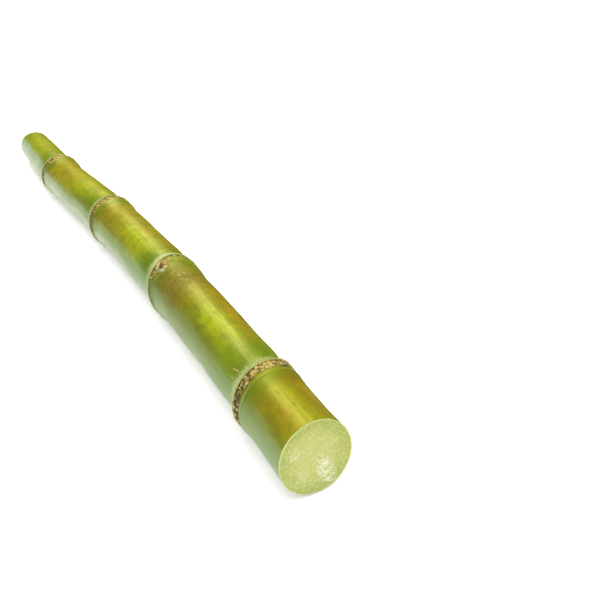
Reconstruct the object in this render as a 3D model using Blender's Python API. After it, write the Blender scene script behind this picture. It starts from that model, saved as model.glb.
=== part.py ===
"""One cut length of fresh sugar cane, lying on its side on its swollen nodes.

The stalk grows towards +X. It is skinned ring by ring: each ring is a slightly oval section
on a bowed centre line, and its radius is the internode's radius plus the relief of the nearest
node: a waist, the leaf scar's lip, the root band, the growth ring and a bud on one side.
Both ends are plain saw cuts. Lengths are in metres, angles in degrees and slopes are ratios.
"""

import math
from typing import NamedTuple

import bmesh
import bpy
import numpy as np

MM = 0.001


class Node(NamedTuple):
    """One node of the stalk, from the root end to the tip end."""

    below: float  # length of the internode on its root side
    radius: float  # radius of the stalk there, without the node's swelling
    side: float  # how far the bowed centre line stands to +Y
    lean_y: float  # slope of the leaf scar towards the root end, going +Y
    lean_z: float  # the same, going up
    bud: float  # angle of its bud, from +Y towards +Z


# Driving dimensions
NODES = (
    Node(below=111 * MM, radius=16.3 * MM, side=0.0 * MM, lean_y=0.20, lean_z=0.20, bud=110),
    Node(below=127 * MM, radius=17.3 * MM, side=6.3 * MM, lean_y=0.16, lean_z=0.22, bud=304),
    Node(below=121 * MM, radius=17.5 * MM, side=7.1 * MM, lean_y=0.10, lean_z=0.42, bud=113),
    Node(below=119 * MM, radius=17.2 * MM, side=2.8 * MM, lean_y=0.05, lean_z=0.14, bud=308),
)
TIP_STUB = 47 * MM  # from the last leaf scar to the tip cut
ROOT_RADIUS = 14.6 * MM  # radius at the root cut
TIP_RADIUS = 18.0 * MM  # radius at the tip cut
ROOT_SIDE = 1.5 * MM  # the centre line's place across, at the root cut
TIP_SIDE = 0.0 * MM
ROOT_CUT_LEAN = (0.04, -0.10)  # slopes of the saw cut towards the root end, going +Y and going up
TIP_CUT_LEAN = (-0.06, 0.18)
OVAL = 0.012  # how much the section is longer than it is wide, as a share of its radius
OVAL_TWIST = 140  # how far that long axis turns from the root cut to the tip cut

# Relief of one node: distance past the leaf scar towards the tip, and rise over the internode
LIP_RISE = 1.5 * MM
ROOT_BAND = 5.6 * MM
BAND_RISE = 1.1 * MM
GROWTH_RING = 1.3 * MM
WAIST_DEPTH = 0.40 * MM
RELIEF = (
    (-22.0 * MM, 0.0),
    (-9.0 * MM, -WAIST_DEPTH),
    (-2.2 * MM, -0.5 * WAIST_DEPTH),
    (-0.6 * MM, 0.5 * LIP_RISE),
    (0.0, LIP_RISE),
    (0.8 * MM, 0.9 * LIP_RISE),
    (1.4 * MM, BAND_RISE),
    (ROOT_BAND, BAND_RISE),
    (ROOT_BAND + 0.8 * MM, GROWTH_RING),
    (ROOT_BAND + 2.0 * MM, 0.6 * BAND_RISE),
    (ROOT_BAND + 7.0 * MM, 0.25 * BAND_RISE),
    (ROOT_BAND + 16.0 * MM, 0.0),
)
BUD_LENGTH = 11.0 * MM
BUD_WIDTH = 9.0 * MM
BUD_RISE = 1.6 * MM
BUD_START = 0.6 * MM  # where the bud's foot stands, past the leaf scar

LEAN_REACH = 26 * MM  # how far from a scar or a cut the rings still lean with it
FLAT_DEPTH = 0.6 * MM  # how much each node is pressed flat where it lies
RING_SEGMENTS = 44
RING_SPACING = 26 * MM  # widest spacing of the rings along an internode


def scar_places():
    """Distance of each leaf scar from the root cut."""
    return np.cumsum([node.below for node in NODES])


SCARS = scar_places()
LENGTH = SCARS[-1] + TIP_STUB
KNOTS = np.concatenate(([0.0], SCARS, [LENGTH]))


def through(values, at):
    """A smooth line through one value for each knot: a cubic Hermite with averaged slopes."""
    values = np.asarray(values, float)
    slopes = np.gradient(values, KNOTS)
    k = int(np.clip(np.searchsorted(KNOTS, at) - 1, 0, len(KNOTS) - 2))
    span = KNOTS[k + 1] - KNOTS[k]
    u = (at - KNOTS[k]) / span
    start = (1 + 2 * u) * (1 - u) ** 2 * values[k] + u * (1 - u) ** 2 * span * slopes[k]
    end = u * u * (3 - 2 * u) * values[k + 1] + u * u * (u - 1) * span * slopes[k + 1]
    return start + end


def internode_radius(at):
    return through([ROOT_RADIUS, *(node.radius for node in NODES), TIP_RADIUS], at)


def centre_side(at):
    return through([ROOT_SIDE, *(node.side for node in NODES), TIP_SIDE], at)


def centre_height(at):
    """The stalk lies on its nodes, so its centre is one node's radius up, less the flat."""
    return internode_radius(at) + LIP_RISE - FLAT_DEPTH


def hump(distance, reach):
    """1 at distance 0, falling smoothly to 0 at reach."""
    u = min(abs(distance) / reach, 1.0)
    return (1 - u * u) ** 2


def relief(at):
    """Rise of the skin over the internode's radius, at a distance from the root cut."""
    rise = 0.0
    for scar in SCARS:
        offset = at - scar
        if RELIEF[0][0] < offset < RELIEF[-1][0]:
            rise += float(np.interp(offset, *zip(*RELIEF)))
    return rise


def bud_rise(at, angle):
    """Rise of the bud: a pointed hump on one side of each root band."""
    rise = 0.0
    for scar, node in zip(SCARS, NODES):
        along = at - scar - BUD_START - BUD_LENGTH / 2
        turn = (angle - math.radians(node.bud) + math.pi) % (2 * math.pi) - math.pi
        across = turn * node.radius
        rise += BUD_RISE * hump(along, BUD_LENGTH / 2) * hump(across, BUD_WIDTH / 2)
    return rise


def lean(at):
    """Slopes (going +Y, going up) of the ring at a distance from the root cut, towards the root."""
    slopes = [(0.0, ROOT_CUT_LEAN), (LENGTH, TIP_CUT_LEAN)]
    slopes += [(scar, (node.lean_y, node.lean_z)) for scar, node in zip(SCARS, NODES)]
    total = np.zeros(2)
    for place, slope in slopes:
        total += np.array(slope) * hump(at - place, LEAN_REACH)
    return total


def ring_places():
    """Distances of the rings from the root cut: every turn of the relief, and even steps between."""
    places = [0.0, LENGTH]
    for scar in SCARS:
        places += [scar + offset for offset, _ in RELIEF]
        places.append(scar + BUD_START + BUD_LENGTH / 2)
    places = sorted(place for place in places if 0.0 <= place <= LENGTH)
    filled = [places[0]]
    for place in places[1:]:
        gap = place - filled[-1]
        steps = max(1, math.ceil(gap / RING_SPACING))
        filled += [filled[-1] + gap * (k + 1) / steps for k in range(steps)]
    return filled


def skin_point(at, angle):
    """A point of the skin: the section's polar point, leant with its ring and kept above the flat."""
    long_axis = math.radians(OVAL_TWIST) * at / LENGTH
    oval = 1 + OVAL * math.cos(2 * (angle - long_axis))
    radius = internode_radius(at) * oval + relief(at) + bud_rise(at, angle)
    y = radius * math.cos(angle)
    z = radius * math.sin(angle)
    slope_y, slope_z = lean(at)
    return (
        at - slope_y * y - slope_z * z,
        centre_side(at) + y,
        max(centre_height(at) + z, 0.0),
    )


def stalk_mesh():
    """One closed skin: rings joined by quads, with a flat face on each cut."""
    mesh = bmesh.new()
    angles = [2 * math.pi * k / RING_SEGMENTS for k in range(RING_SEGMENTS)]
    rings = [[mesh.verts.new(skin_point(at, angle)) for angle in angles] for at in ring_places()]
    for lower, upper in zip(rings, rings[1:]):
        for k in range(RING_SEGMENTS):
            after = (k + 1) % RING_SEGMENTS
            mesh.faces.new((lower[k], lower[after], upper[after], upper[k]))
    mesh.faces.new(rings[0][::-1])
    mesh.faces.new(rings[-1])
    bmesh.ops.recalc_face_normals(mesh, faces=mesh.faces)
    return mesh


def centre_on_origin(mesh):
    """Puts the middle of the box's underside at the origin."""
    corners = np.array([vert.co for vert in mesh.verts])
    low = corners.min(axis=0)
    high = corners.max(axis=0)
    shift = (-(low[0] + high[0]) / 2, -(low[1] + high[1]) / 2, -low[2])
    bmesh.ops.translate(mesh, verts=mesh.verts, vec=shift)


def cane_rind():
    material = bpy.data.materials.new("cane_rind")
    material.use_nodes = True
    shader = material.node_tree.nodes["Principled BSDF"]
    shader.inputs["Base Color"].default_value = (0.36, 0.41, 0.035, 1)
    shader.inputs["Roughness"].default_value = 0.35
    shader.inputs["Metallic"].default_value = 0.0
    return material


def build_stalk():
    mesh = stalk_mesh()
    centre_on_origin(mesh)
    data = bpy.data.meshes.new("cane_stalk")
    mesh.to_mesh(data)
    mesh.free()
    data.shade_smooth()
    data.set_sharp_from_angle(angle=math.radians(35))
    data.materials.append(cane_rind())
    stalk = bpy.data.objects.new("cane_stalk", data)
    bpy.context.scene.collection.objects.link(stalk)


def main():
    for leftover in list(bpy.data.objects):
        bpy.data.objects.remove(leftover)
    build_stalk()


main()
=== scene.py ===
"""Sugar cane: the fine surface and finish of one cut stalk that lies on its nodes.

Every piece is a surface worked out with numpy in the stalk's own terms: a distance from the root
cut, an angle round the stalk (from +Y towards +Z) and a lift off its skin. One function, skin,
turns those into places, so a piece that names a leaf scar and an angle lies on the stalk there.
"""

import math

import bpy
import numpy as np
from bpy.props import FloatProperty, FloatVectorProperty, IntProperty, PointerProperty
from bpy.types import Operator, Panel, PropertyGroup
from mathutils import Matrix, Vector


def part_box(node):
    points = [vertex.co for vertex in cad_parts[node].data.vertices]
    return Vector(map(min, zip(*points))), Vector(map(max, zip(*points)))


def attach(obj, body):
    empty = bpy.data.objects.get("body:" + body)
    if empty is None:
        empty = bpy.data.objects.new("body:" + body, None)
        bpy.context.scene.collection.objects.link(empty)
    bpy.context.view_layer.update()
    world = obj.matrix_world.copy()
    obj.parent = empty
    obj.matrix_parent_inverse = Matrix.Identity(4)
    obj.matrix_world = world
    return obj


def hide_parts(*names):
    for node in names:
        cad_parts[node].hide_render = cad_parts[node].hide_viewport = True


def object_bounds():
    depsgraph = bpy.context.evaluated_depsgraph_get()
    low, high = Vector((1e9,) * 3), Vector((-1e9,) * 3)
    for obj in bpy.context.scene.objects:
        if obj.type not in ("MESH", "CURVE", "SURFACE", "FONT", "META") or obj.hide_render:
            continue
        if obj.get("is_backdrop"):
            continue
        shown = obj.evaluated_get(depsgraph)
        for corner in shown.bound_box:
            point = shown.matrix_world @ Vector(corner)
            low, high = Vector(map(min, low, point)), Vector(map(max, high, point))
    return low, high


bl_info = {
    "name": "Sugar Cane Stalk",
    "version": (1, 0, 0),
    "blender": (4, 5, 0),
    "location": "3D View > Sidebar > Cane",
    "description": "Builds a cut length of fresh sugar cane with its nodes, scars, buds and cut ends",
    "category": "Add Mesh",
}

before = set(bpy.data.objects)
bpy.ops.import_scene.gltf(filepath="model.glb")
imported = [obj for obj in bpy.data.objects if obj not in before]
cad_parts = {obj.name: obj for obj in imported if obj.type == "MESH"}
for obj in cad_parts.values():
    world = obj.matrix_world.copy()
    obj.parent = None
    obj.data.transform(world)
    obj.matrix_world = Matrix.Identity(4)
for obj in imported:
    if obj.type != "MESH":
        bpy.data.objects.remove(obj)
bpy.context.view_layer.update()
CAD_NODE = "cane_stalk"
MM = 0.001
TURN = 2 * math.pi
GROOVE_DEPTH = 0.30 * MM  # between the root band and the growth ring
LINE_DEPTH = 0.10 * MM  # past the growth ring
BAND_ROUGHNESS = 0.16 * MM
CUT_SEAT = 0.4 * MM  # depth of the seat in each cut that takes the pith
PITH_BACK = 0.5 * MM  # depth of the pith's back, a little past the seat's floor
NODE_BEFORE, NODE_AFTER = 13 * MM, 16 * MM  # reach of the skin's close rings round a leaf scar
PAINT_RADIUS = 17  # of the stalk, in mm, that turns an angle into a width of paint


def number(name, description, default, **more):
    return FloatProperty(name=name, description=description, default=default, **more)


def length(name, description, default):
    return number(name, description, default, unit="LENGTH")


def turning(name, description, degrees):
    return number(name, description, math.radians(degrees), subtype="ANGLE")


def numbers(name, description, default, **more):
    size = len(default)
    return FloatVectorProperty(name=name, description=description, default=default, size=size, **more)


def lengths(name, description, default):
    return numbers(name, description, default, unit="LENGTH", precision=4)


def colour(name, description, default):
    return FloatVectorProperty(
        name=name, description=description, default=default, size=3, subtype="COLOR", min=0, max=1
    )


class CaneSizes(PropertyGroup):
    """Sizes of the stalk, as the CAD part has them, and of the detail on it."""

    internodes: lengths(
        "Internodes",
        "Lengths from the root cut to each leaf scar in turn, and from the last to the tip cut",
        (0.111, 0.127, 0.121, 0.119, 0.047),
    )
    radii: lengths(
        "Radii",
        "Radius at the root cut, at each node without its swelling, and at the tip cut",
        (0.0146, 0.0163, 0.0173, 0.0175, 0.0172, 0.018),
    )
    sides: lengths(
        "Bow",
        "How far the centre line stands to +Y at the same places",
        (0.0015, 0.0, 0.0063, 0.0071, 0.0028, 0.0),
    )
    leans_across: numbers(
        "Leans across",
        "Slope of each cut and leaf scar towards the root end, going +Y",
        (0.04, 0.20, 0.16, 0.10, 0.05, -0.06),
    )
    leans_up: numbers(
        "Leans up",
        "Slope of each cut and leaf scar towards the root end, going up",
        (-0.10, 0.20, 0.22, 0.42, 0.14, 0.18),
    )
    lean_reach: length("Lean reach", "How far from a scar or a cut the skin still leans with it", 0.026)
    bud_angles: numbers(
        "Bud angles",
        "Angle of each node's bud, from +Y towards +Z",
        [math.radians(degrees) for degrees in (110, 304, 113, 308)],
        unit="ROTATION",
    )
    oval: number("Oval", "How much the section is longer than wide", 0.012)
    oval_twist: turning("Oval twist", "How far the long axis turns from the root cut to the tip cut", 140)
    flat_depth: length("Flat depth", "How much each node is pressed flat where it lies", 0.0006)
    lip_rise: length("Lip rise", "Height of the leaf scar's lip over the internode", 0.0015)
    lip_width: length("Lip width", "Half width of the lip", 0.00042)
    band_length: length("Root band", "From the leaf scar to the groove below the growth ring", 0.0056)
    band_rise: length("Root band rise", "Height of the root band over the internode", 0.00095)
    ring_rise: length("Growth ring rise", "Height of the growth ring over the root band", 0.00035)
    waist_depth: length("Waist", "Depth of the waist on the root side of each scar", 0.0004)
    bud_stretch: number("Bud stretch", "Widening of the root band at its bud", 0.6)
    bud_length: length("Bud length", "Length of a bud along the stalk", 0.0095)
    bud_width: length("Bud width", "Width of a bud", 0.0085)
    bud_rise: length("Bud rise", "Height of a bud over the root band", 0.0011)
    rind_edge: length("Rind edge", "Thickness of the rind that shows at a cut", 0.0005)
    segments: IntProperty(name="Segments", description="Faces round the skin", default=208, min=24)


class CaneColours(PropertyGroup):
    """Colours of the stalk, linear."""

    olive: colour("Olive", "Ripe rind", (0.166, 0.206, 0.002))
    lemon: colour("Lemon", "Palest ripe rind", (0.325, 0.372, 0.002))
    fresh: colour("Fresh green", "Young rind on the root side of a node", (0.085, 0.175, 0.003))
    # Shade is painted shade: the dark olive that darkens the flanks where less light falls; the darker mottle
    # and the painted crease lines use it too
    shade: colour("Shade", "Dark olive rind on the flanks", (0.105, 0.125, 0.003))
    gold: colour("Gold", "Sunned rind on the tip side of a node", (0.27, 0.21, 0.002))
    amber: colour("Amber", "Deepest sunned rind", (0.35, 0.205, 0.002))
    rust: colour("Rust", "Brown dashes in the gold rind", (0.16, 0.092, 0.003))
    bruise: colour("Bruise", "Rubbed brown rind", (0.10, 0.068, 0.010))
    # Bloom and frost: the whitish film on the -Y flank, partly real waxy bloom and partly a painted
    # reflection of the pale floor; frost, the palest, is mostly painted reflection
    bloom_and_sheen: colour("Bloom", "Powdery film on the flank", (0.125, 0.215, 0.085))
    frost_and_sheen: colour("Frost", "Thickest of the powdery film", (0.33, 0.42, 0.31))
    wax: colour("Wax", "Waxy band on the root side of a scar", (0.38, 0.44, 0.23))
    ring: colour("Growth ring", "Smooth growth ring", (0.20, 0.23, 0.035))
    straw: colour("Straw", "Dry torn sheath, light", (0.50, 0.37, 0.11))
    bark: colour("Bark", "Dry torn sheath, dark", (0.055, 0.034, 0.010))
    root_dot: colour("Root dot", "Root dots in the band", (0.56, 0.49, 0.24))
    pith: colour("Pith", "Middle of the cut face", (0.54, 0.54, 0.18))
    pith_edge: colour("Pith edge", "Outer part of the cut face", (0.36, 0.41, 0.085))
    pith_fibre: colour("Pith fibre", "Fibre ends in the cut face", (0.74, 0.76, 0.42))
    # Juice: the moist patches' colour, a painted highlight of wet sap
    juice_glint: colour("Juice", "Pale moist patches on the cut face", (0.84, 0.87, 0.72))


class CaneStudio(PropertyGroup):
    """Camera and light."""

    camera_beyond: length("Camera beyond", "Camera's distance past the tip cut, along the stalk", 0.1485)
    camera_aside: length("Camera aside", "Camera's distance to -Y of the tip cut", 0.1049)
    camera_height: length("Camera height", "Camera's height over the floor", 0.2105)
    camera_turn: turning("Camera turn", "Direction of view, from +Y towards -X", 56.96)
    camera_pitch: turning("Camera pitch", "How far it looks down", 31.83)
    lens: number("Lens", "Focal length", 36, unit="CAMERA")
    floor_size: length("Floor size", "Side of the floor", 30.0)
    floor_tone: number("Floor tone", "Lightness of the floor", 0.9)
    floor_glow: number("Floor glow", "Light the floor adds to the view", 0.3)
    floor_sheen: number("Floor sheen", "Light the floor on the -Y side adds to glossy reflections", 0.55)
    floor_reflected: number("Floor reflected", "Lightness of the floor on the +Y side in reflections", 0.08)
    backdrop: number("Backdrop", "Lightness of what shows behind the floor", 1.1)
    horizon: number("Horizon", "Strength of the even light at the horizon", 0.12)
    zenith: number("Zenith", "Strength of the even light overhead", 2.62)
    sky_reflected: number("Sky reflected", "Share of the even light in glossy reflections", 0.2)
    key_power: number("Key power", "Power of the overhead softbox", 11, unit="POWER")
    fill_power: number("Fill power", "Power of the front softbox", 6.5, unit="POWER")
    side_power: number("Side power", "Power of the side softbox", 8.5, unit="POWER")


class Seed:
    """Seeds of the random numbers, one for each use. Where a node has its own, its number is added."""

    swell = 3
    ripple = 4
    saw_wander = 7
    saw_rough = 8
    scar_edge = 20
    band_rough = 30
    paint = 50
    flank = 51
    husk = 61
    lip_ragged = 70
    lip_slow = 80
    dots = 90
    fibres = 110
    bud_outline = 130
    bud_ridges = 140
    bud_tint = 150


def hump(distance, reach):
    """1 at distance 0, falling smoothly to 0 at reach: the square of one minus the squared ratio."""
    ratio = np.minimum(np.abs(distance) / reach, 1.0)
    return (1 - ratio**2) ** 2


def bell(distance, width):
    """1 at distance 0 and 1/e a width away: the exponential of minus the squared ratio."""
    return np.exp(-((distance / width) ** 2))


def rise(value, low, high):
    """0 below low and 1 above high, with a smooth cubic between."""
    ratio = np.clip((value - low) / (high - low), 0, 1)
    return ratio * ratio * (3 - 2 * ratio)


def waves(along, angle, seed, count, turns, cycle):
    """Smooth noise about 0 with a spread near 1: a sum of sine waves of random phase and direction.

    Each wave turns a whole number of times round the stalk, so the sum closes on itself.
    turns is the most turns, and cycle the shortest distance that a wave takes along the stalk.
    """
    rng = np.random.default_rng(seed)
    total = np.zeros(np.broadcast(along, angle).shape)
    for _ in range(count):
        whole = rng.integers(-turns, turns + 1)
        pace = TURN / cycle * rng.uniform(-1, 1)
        total += np.sin(whole * angle + pace * along + rng.uniform(0, TURN))
    return total / math.sqrt(count / 2)


class Stalk:
    """The stalk's shape as functions of a distance from the root cut and an angle round it."""

    def __init__(self, sizes):
        self.sizes = sizes
        self.knots = np.concatenate(([0.0], np.cumsum(sizes.internodes)))
        self.scars = self.knots[1:-1]
        self.length = self.knots[-1]
        self.buds = np.array(sizes.bud_angles)
        self.shift = np.zeros(3)
        self.shift = self.place_in_box()

    def through(self, values, at):
        """A smooth line through one value for each knot: a cubic Hermite with averaged slopes."""
        values = np.array(values)
        slopes = np.gradient(values, self.knots)
        k = np.clip(np.searchsorted(self.knots, at) - 1, 0, len(self.knots) - 2)
        span = self.knots[k + 1] - self.knots[k]
        u = (at - self.knots[k]) / span
        start = (1 + 2 * u) * (1 - u) ** 2 * values[k] + u * (1 - u) ** 2 * span * slopes[k]
        end = u * u * (3 - 2 * u) * values[k + 1] + u * u * (u - 1) * span * slopes[k + 1]
        return start + end

    def radius(self, at):
        return self.through(self.sizes.radii, at)

    def centre(self, at):
        """Places of the centre line across and up: it lies one node's radius up, less the flat."""
        sizes = self.sizes
        height = self.radius(at) + sizes.lip_rise - sizes.flat_depth
        return self.through(sizes.sides, at), height

    def lean(self, at):
        """Slopes of the skin's rings towards the root end: each cut's and scar's, fading away from it."""
        across, up = np.zeros(np.shape(at)), np.zeros(np.shape(at))
        for place, slope_y, slope_z in zip(self.knots, self.sizes.leans_across, self.sizes.leans_up):
            near = hump(at - place, self.sizes.lean_reach)
            across, up = across + slope_y * near, up + slope_z * near
        return across, up

    def near_bud(self, node, angle, width):
        """1 at the angle of a node's bud, falling to 0 a width away at the second node's radius."""
        turn = (angle - self.buds[node] + math.pi) % TURN - math.pi
        return hump(turn * self.sizes.radii[2], width)

    def zone(self, node, at, angle):
        """Distance past a node's leaf scar, shrunk where its bud widens the root band.

        From the scar to the band's end it is divided by one plus the stretch; past there the
        difference dies away exponentially.
        """
        past = at - self.scars[node]
        band = self.sizes.band_length
        wide = band * (1 + self.sizes.bud_stretch * self.near_bud(node, angle, self.sizes.bud_width))
        inside = past * band / wide
        beyond = past - (wide - band) * np.exp(-np.maximum(past - wide, 0) / (2 * band))
        return np.where(past < 0, past, np.where(past < wide, inside, beyond))

    def relief(self, at, angle):
        """Rise of the skin over the internode: the sum, over the nodes, of bell and step curves.

        A waist, the scar's sharp lip, the rough root band, a groove, the growth ring and a fine line
        past it, over a slow swell and a lengthwise ripple of the whole skin.
        """
        sizes = self.sizes
        band_end = sizes.band_length
        swell = 0.12 * MM * waves(at, angle, Seed.swell, 24, 5, 30 * MM)
        total = swell + 0.02 * MM * waves(at, angle, Seed.ripple, 40, 60, 90 * MM)
        for node in range(len(self.scars)):
            z = self.zone(node, at, angle)
            z = z + 0.12 * MM * waves(at * 0, angle, Seed.scar_edge + node, 14, 24, 1.0)
            past_band = z - band_end
            band = rise(z, -0.5 * MM, 0.5 * MM) * (1 - rise(z, band_end + 1.5 * MM, 18 * MM))
            rough = rise(z, 0.4 * MM, 1.0 * MM) * (1 - rise(z, band_end - 0.5 * MM, band_end))
            total = total + sizes.band_rise * band
            total = total - sizes.waist_depth * hump(z + 9 * MM, 9 * MM)
            total = total + (sizes.lip_rise - 0.5 * sizes.band_rise) * bell(z, sizes.lip_width)
            total = total - GROOVE_DEPTH * bell(past_band, 0.4 * MM)
            total = total + sizes.ring_rise * bell(past_band - 1.7 * MM, 0.9 * MM)
            total = total - LINE_DEPTH * bell(past_band - 3.2 * MM, 0.3 * MM)
            if np.any(rough > 0):
                rough_skin = waves(at, angle, Seed.band_rough + node, 60, 110, 1.3 * MM)
                total = total + BAND_ROUGHNESS * rough * rough_skin
        return total

    def skin(self, at, angle, lift=0.0):
        """Place of a point of the skin, lifted off it along the radius.

        The section's polar point is carried along the bowed centre line, leant with its ring and
        kept above the surface that the stalk lies on.
        """
        at, angle, lift = np.broadcast_arrays(at, angle, lift)
        long_axis = self.sizes.oval_twist * at / self.length
        radius = self.radius(at) * (1 + self.sizes.oval * np.cos(2 * (angle - long_axis)))
        return self.section(at, angle, radius + self.relief(at, angle) + lift)

    def section(self, at, angle, radius):
        """Place of a point of the stalk's section: polar about the centre line, leant with its ring."""
        y, z = radius * np.cos(angle), radius * np.sin(angle)
        slope_y, slope_z = self.lean(at)
        side, height = self.centre(at)
        place = (at - slope_y * y - slope_z * z, side + y, np.maximum(height + z, 0.0))
        return np.stack(place, axis=-1) + self.shift

    def place_in_box(self):
        """The shift that puts the middle of the plain stalk's box on the CAD node's."""
        angle = np.linspace(0, TURN, 72, endpoint=False)
        at = np.linspace(0, self.length, 400)[:, None]
        places = self.skin(at, angle).reshape(-1, 3)
        low, high = places.min(axis=0), places.max(axis=0)
        box_low, box_high = (np.array(corner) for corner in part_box(CAD_NODE))
        shift = (box_low + box_high) / 2 - (low + high) / 2
        shift[2] = box_low[2]
        return shift


def quads(rows, columns):
    """Quads between neighbouring rows of a grid of points that closes round each row."""
    row = np.arange(rows - 1)[:, None] * columns
    column = np.arange(columns)[None, :]
    after = (column + 1) % columns
    corners = (row + column, row + after, row + columns + after, row + columns + column)
    return np.stack(corners, axis=-1).reshape(-1, 4)


def fan(pole, ring, outward):
    """Triangles from a pole to each edge of a ring, turned by the sign of outward."""
    after = np.roll(ring, -1)
    middle = np.full(len(ring), pole)
    return np.stack((middle, ring, after) if outward > 0 else (middle, after, ring), axis=-1)


def closed_shell(places):
    """Points and faces of a closed shape: rows of a grid whose first and last are single poles.

    places has the shape (rows, columns, 3), and the poles are the means of its end rows.
    """
    rows, columns = places.shape[:2]
    poles = places[[0, -1]].mean(axis=1)
    points = np.concatenate((places[1:-1].reshape(-1, 3), poles))
    inner = rows - 2
    first, last = inner * columns, inner * columns + 1
    low = np.arange(columns)
    high = low + (inner - 1) * columns
    triangles = np.concatenate((fan(first, low, -1), fan(last, high, 1)))
    return points, quads(inner, columns), triangles


def many_shells(places):
    """closed_shell for many like shapes at once: places has the shape (shapes, rows, columns, 3)."""
    points, fours, threes = [], [], []
    count = 0
    for shape in places:
        shape_points, shape_quads, shape_triangles = closed_shell(shape)
        points.append(shape_points)
        fours.append(shape_quads + count)
        threes.append(shape_triangles + count)
        count += len(shape_points)
    return np.concatenate(points), np.concatenate(fours), np.concatenate(threes)


def make_piece(name, points, faces, materials):
    """A mesh object at the origin from arrays of points and faces, smooth, riding on the stalk's body."""
    mesh = bpy.data.meshes.new(name)
    mesh.from_pydata(points.tolist(), [], [face for block in faces for face in block.tolist()])
    mesh.shade_smooth()
    for material in materials:
        mesh.materials.append(material)
    piece = bpy.data.objects.new(name, mesh)
    bpy.context.scene.collection.objects.link(piece)
    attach(piece, "root")
    return piece


def give(mesh, name, values, kind, field):
    """Stores one value of a kind for each point."""
    data = mesh.attributes.new(name, kind, "POINT").data
    data.foreach_set(field, np.ravel(values).astype(np.float32))


def give_numbers(mesh, name, values):
    give(mesh, name, values, "FLOAT", "value")


def give_vectors(mesh, name, values):
    give(mesh, name, values, "FLOAT_VECTOR", "vector")


def give_colours(mesh, name, values):
    give(mesh, name, values, "FLOAT_COLOR", "color")


class Nodes:
    """Adds shader nodes to one tree. An input takes a plain value or another node's output."""

    def __init__(self, tree):
        self.tree = tree

    def add(self, kind, inputs=None, **settings):
        node = self.tree.nodes.new(kind)
        for name, value in settings.items():
            setattr(node, name, value)
        for key, value in (inputs or {}).items():
            if isinstance(value, bpy.types.NodeSocket):
                self.tree.links.new(value, node.inputs[key])
            else:
                node.inputs[key].default_value = value
        return node

    def math(self, operation, first, second, clamp=False):
        inputs = {0: first, 1: second}
        return self.add("ShaderNodeMath", inputs, operation=operation, use_clamp=clamp).outputs[0]

    def times(self, first, second, clamp=False):
        return self.math("MULTIPLY", first, second, clamp)

    def plus(self, first, second, clamp=False):
        return self.math("ADD", first, second, clamp)

    def minus(self, first, second, clamp=False):
        return self.math("SUBTRACT", first, second, clamp)

    def larger(self, first, second):
        return self.math("MAXIMUM", first, second)

    def given(self, name):
        """The number that a mesh holds for each point under a name."""
        return self.add("ShaderNodeAttribute", attribute_name=name).outputs["Fac"]

    def mix(self, share, first, second):
        """Mixes two colours by a share."""
        first, second = self.full(first), self.full(second)
        node = self.add("ShaderNodeMix", {0: share, 6: first, 7: second}, data_type="RGBA")
        return node.outputs[2]

    def full(self, value):
        """A colour with its alpha, or a socket as it is."""
        return value if isinstance(value, bpy.types.NodeSocket) else (*tuple(value)[:3], 1.0)

    def between(self, value, low, high, to_low=0.0, to_high=1.0):
        """Maps low to high smoothly onto to_low to to_high, and holds the ends."""
        inputs = {"Value": value, 1: low, 2: high, 3: to_low, 4: to_high}
        return self.add("ShaderNodeMapRange", inputs, interpolation_type="SMOOTHSTEP").outputs[0]

    def band(self, value, start, end, soft):
        """1 from start to end, with soft edges."""
        inside = self.between(value, start - soft, start + soft)
        return self.times(inside, self.between(value, end - soft, end + soft, 1.0, 0.0))

    def use(self, tree, **inputs):
        """The mask that a node group puts out, with its inputs filled."""
        return self.add("ShaderNodeGroup", inputs, node_tree=tree).outputs["Mask"]


def new_group(name, inputs):
    """An empty node group that puts out a mask, with these inputs: (name, kind, default)."""
    tree = bpy.data.node_groups.new(name, "ShaderNodeTree")
    for label, kind, default in inputs:
        socket = tree.interface.new_socket(label, in_out="INPUT", socket_type="NodeSocket" + kind)
        socket.default_value = default
    tree.interface.new_socket("Mask", in_out="OUTPUT", socket_type="NodeSocketFloat")
    nodes = Nodes(tree)
    return tree, nodes, nodes.add("NodeGroupInput").outputs, nodes.add("NodeGroupOutput")


def streak_group():
    """Lengthwise streaks: noise on coordinates squeezed along X, between two limits."""
    found = bpy.data.node_groups.get("cane_streaks")
    if found:
        return found
    inputs = (
        ("Place", "Vector", (0, 0, 0)),
        ("Along", "Float", 30.0),
        ("Across", "Float", 700.0),
        ("Low", "Float", 0.35),
        ("High", "Float", 0.65),
    )
    tree, nodes, given, result = new_group("cane_streaks", inputs)
    scale = nodes.add("ShaderNodeCombineXYZ", {0: given["Along"], 1: given["Across"], 2: given["Across"]})
    place = nodes.add("ShaderNodeVectorMath", {0: given["Place"], 1: scale.outputs[0]}, operation="MULTIPLY")
    noise = nodes.add("ShaderNodeTexNoise", {"Vector": place.outputs[0], "Scale": 1.0, "Detail": 3.0})
    mask = nodes.between(noise.outputs[0], given["Low"], given["High"])
    tree.links.new(mask, result.inputs["Mask"])
    return tree


def patch_group():
    """Soft irregular patches: noise at one scale, between two limits."""
    found = bpy.data.node_groups.get("cane_patches")
    if found:
        return found
    inputs = (
        ("Place", "Vector", (0, 0, 0)),
        ("Scale", "Float", 100.0),
        ("Detail", "Float", 3.0),
        ("Low", "Float", 0.4),
        ("High", "Float", 0.6),
    )
    tree, nodes, given, result = new_group("cane_patches", inputs)
    noise = nodes.add(
        "ShaderNodeTexNoise", {"Vector": given["Place"], "Scale": given["Scale"], "Detail": given["Detail"]}
    )
    mask = nodes.between(noise.outputs[0], given["Low"], given["High"])
    tree.links.new(mask, result.inputs["Mask"])
    return tree


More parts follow.
